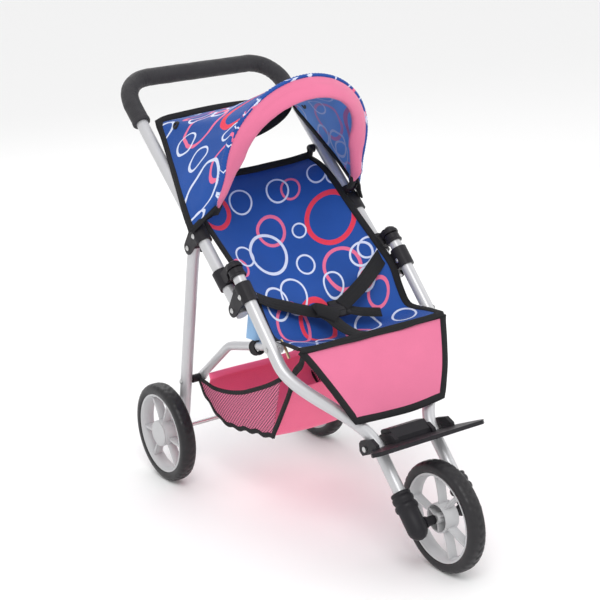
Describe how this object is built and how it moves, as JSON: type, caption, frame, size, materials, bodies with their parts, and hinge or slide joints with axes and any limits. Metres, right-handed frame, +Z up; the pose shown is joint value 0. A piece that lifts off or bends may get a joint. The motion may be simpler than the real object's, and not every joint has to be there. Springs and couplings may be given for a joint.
{
  "type": "doll stroller",
  "caption": "Folding three-wheeled doll stroller: sling seat, printed hood on a hinged hoop, foam push handle, footrest and a mesh basket.",
  "frame": {"origin": "on the floor under the middle of the whole stroller", "axes": "+X to the left hand of the person pushing, the stroller faces -Y with its handle towards +Y, +Z up"},
  "size_m": [0.2866, 0.607, 0.5716],
  "materials": {
    "silver_paint": "satin silver-grey paint on steel tube",
    "bright_steel": "bright zinc-plated steel",
    "black_plastic": "matte black moulded plastic",
    "grey_plastic": "light grey moulded plastic",
    "tyre": "black soft plastic tyre with a wavy tread",
    "dark_foam": "dark grey closed-cell foam sleeve with a leathery skin",
    "blue_fabric": "royal-blue woven polyester printed with white, pink and coral rings",
    "pink_fabric": "bright pink woven polyester with black bound edges; black mesh sides on the basket",
    "black_webbing": "black polypropylene webbing"
  },
  "bodies": {
    "frame": {"front_tube_left": "silver_paint", "front_tube_right": "silver_paint", "front_tube_cap_left": "black_plastic", "front_tube_cap_right": "black_plastic", "pivot_bracket_left": "black_plastic", "pivot_bracket_right": "black_plastic", "bracket_rivet_left": "bright_steel", "bracket_rivet_right": "bright_steel", "fold_rivet_left": "bright_steel", "fold_rivet_right": "bright_steel", "link_rivet_left": "bright_steel", "link_rivet_right": "bright_steel", "fork_boot_left": "black_plastic", "fork_boot_right": "black_plastic", "front_axle": "bright_steel", "footrest": "black_plastic", "footrest_bolt_left": "bright_steel", "footrest_bolt_right": "bright_steel", "seat_fabric": "blue_fabric", "front_apron": "pink_fabric", "storage_basket": "pink_fabric", "harness_strap_left": "black_webbing", "harness_strap_right": "black_webbing", "crotch_strap": "black_webbing", "harness_buckle": "black_plastic"},
    "handle": {"handle_tube": "silver_paint", "foam_grip": "dark_foam", "upper_bracket_left": "black_plastic", "upper_bracket_right": "black_plastic", "handle_rivet_left": "bright_steel", "handle_rivet_right": "bright_steel", "leg_rivet_left": "bright_steel", "leg_rivet_right": "bright_steel", "backrest_fabric": "blue_fabric", "backrest_clip_left": "black_plastic", "backrest_clip_right": "black_plastic", "canopy_fabric": "blue_fabric", "canopy_clip_left": "black_plastic", "canopy_clip_right": "black_plastic"},
    "lock_left": {"slider_lock_left": "black_plastic"},
    "lock_right": {"slider_lock_right": "black_plastic"},
    "hood_hoop": {"canopy_bow": "bright_steel", "canopy_bow_pad": "pink_fabric"},
    "rear_legs": {"rear_leg_left": "silver_paint", "rear_leg_right": "silver_paint", "rear_axle": "bright_steel", "link_spacer_left": "black_plastic", "link_spacer_right": "black_plastic", "spacer_rivet_left": "bright_steel", "spacer_rivet_right": "bright_steel"},
    "link_left": {"link_tube_left": "silver_paint"},
    "link_right": {"link_tube_right": "silver_paint"},
    "front_wheel_set": {"front_wheel": "grey_plastic", "front_tyre": "tyre"},
    "rear_wheel_set_left": {"rear_wheel_left": "grey_plastic", "rear_tyre_left": "tyre", "hub_cap_left": "grey_plastic"},
    "rear_wheel_set_right": {"rear_wheel_right": "grey_plastic", "rear_tyre_right": "tyre", "hub_cap_right": "grey_plastic"}
  },
  "joints": [
    {"name": "handle_fold", "type": "hinge", "parent": "frame", "child": "handle", "pos_m": [0, 0.01252, 0.29919], "axis": [1, 0, 0], "range_deg": [-150, 0], "deforming": ["storage_basket", "seat_fabric", "harness_strap_left", "harness_strap_right", "crotch_strap", "harness_buckle"]},
    {"name": "leg_fold", "type": "hinge", "parent": "handle", "child": "rear_legs", "pos_m": [0, 0.11633, 0.35946], "axis": [1, 0, 0], "range_deg": [0, 94.3]},
    {"name": "link_fold_left", "type": "hinge", "parent": "frame", "child": "link_left", "pos_m": [0.1092, -0.0589, 0.26516], "axis": [1, 0, 0], "range_deg": [-90.5, 0]},
    {"name": "link_fold_right", "type": "hinge", "parent": "frame", "child": "link_right", "pos_m": [-0.1092, -0.0589, 0.26516], "axis": [1, 0, 0], "range_deg": [-90.5, 0]},
    {"name": "lock_slide_left", "type": "slide", "parent": "handle", "child": "lock_left", "axis": [0, 0.7361, 0.6769], "range_m": [0, 0.03]},
    {"name": "lock_slide_right", "type": "slide", "parent": "handle", "child": "lock_right", "axis": [0, 0.7361, 0.6769], "range_m": [0, 0.03]},
    {"name": "hood_fold", "type": "hinge", "parent": "handle", "child": "hood_hoop", "pos_m": [0, 0.08432, 0.408], "axis": [1, 0, 0], "range_deg": [-75, 0], "deforming": ["canopy_fabric"]},
    {"name": "front_wheel_spin", "type": "hinge", "parent": "frame", "child": "front_wheel_set", "pos_m": [0, -0.2337, 0.07], "axis": [1, 0, 0], "continuous": true},
    {"name": "rear_wheel_spin_left", "type": "hinge", "parent": "rear_legs", "child": "rear_wheel_set_left", "pos_m": [0.127, 0.2255, 0.07], "axis": [1, 0, 0], "continuous": true},
    {"name": "rear_wheel_spin_right", "type": "hinge", "parent": "rear_legs", "child": "rear_wheel_set_right", "pos_m": [-0.127, 0.2255, 0.07], "axis": [1, 0, 0], "continuous": true}
  ],
  "couplings": [
    {"joint": "leg_fold", "follows": "handle_fold", "ratio": -0.62836},
    {"joint": "link_fold_left", "follows": "handle_fold", "ratio": 0.60253},
    {"joint": "link_fold_right", "follows": "handle_fold", "ratio": 0.60253}
  ]
}
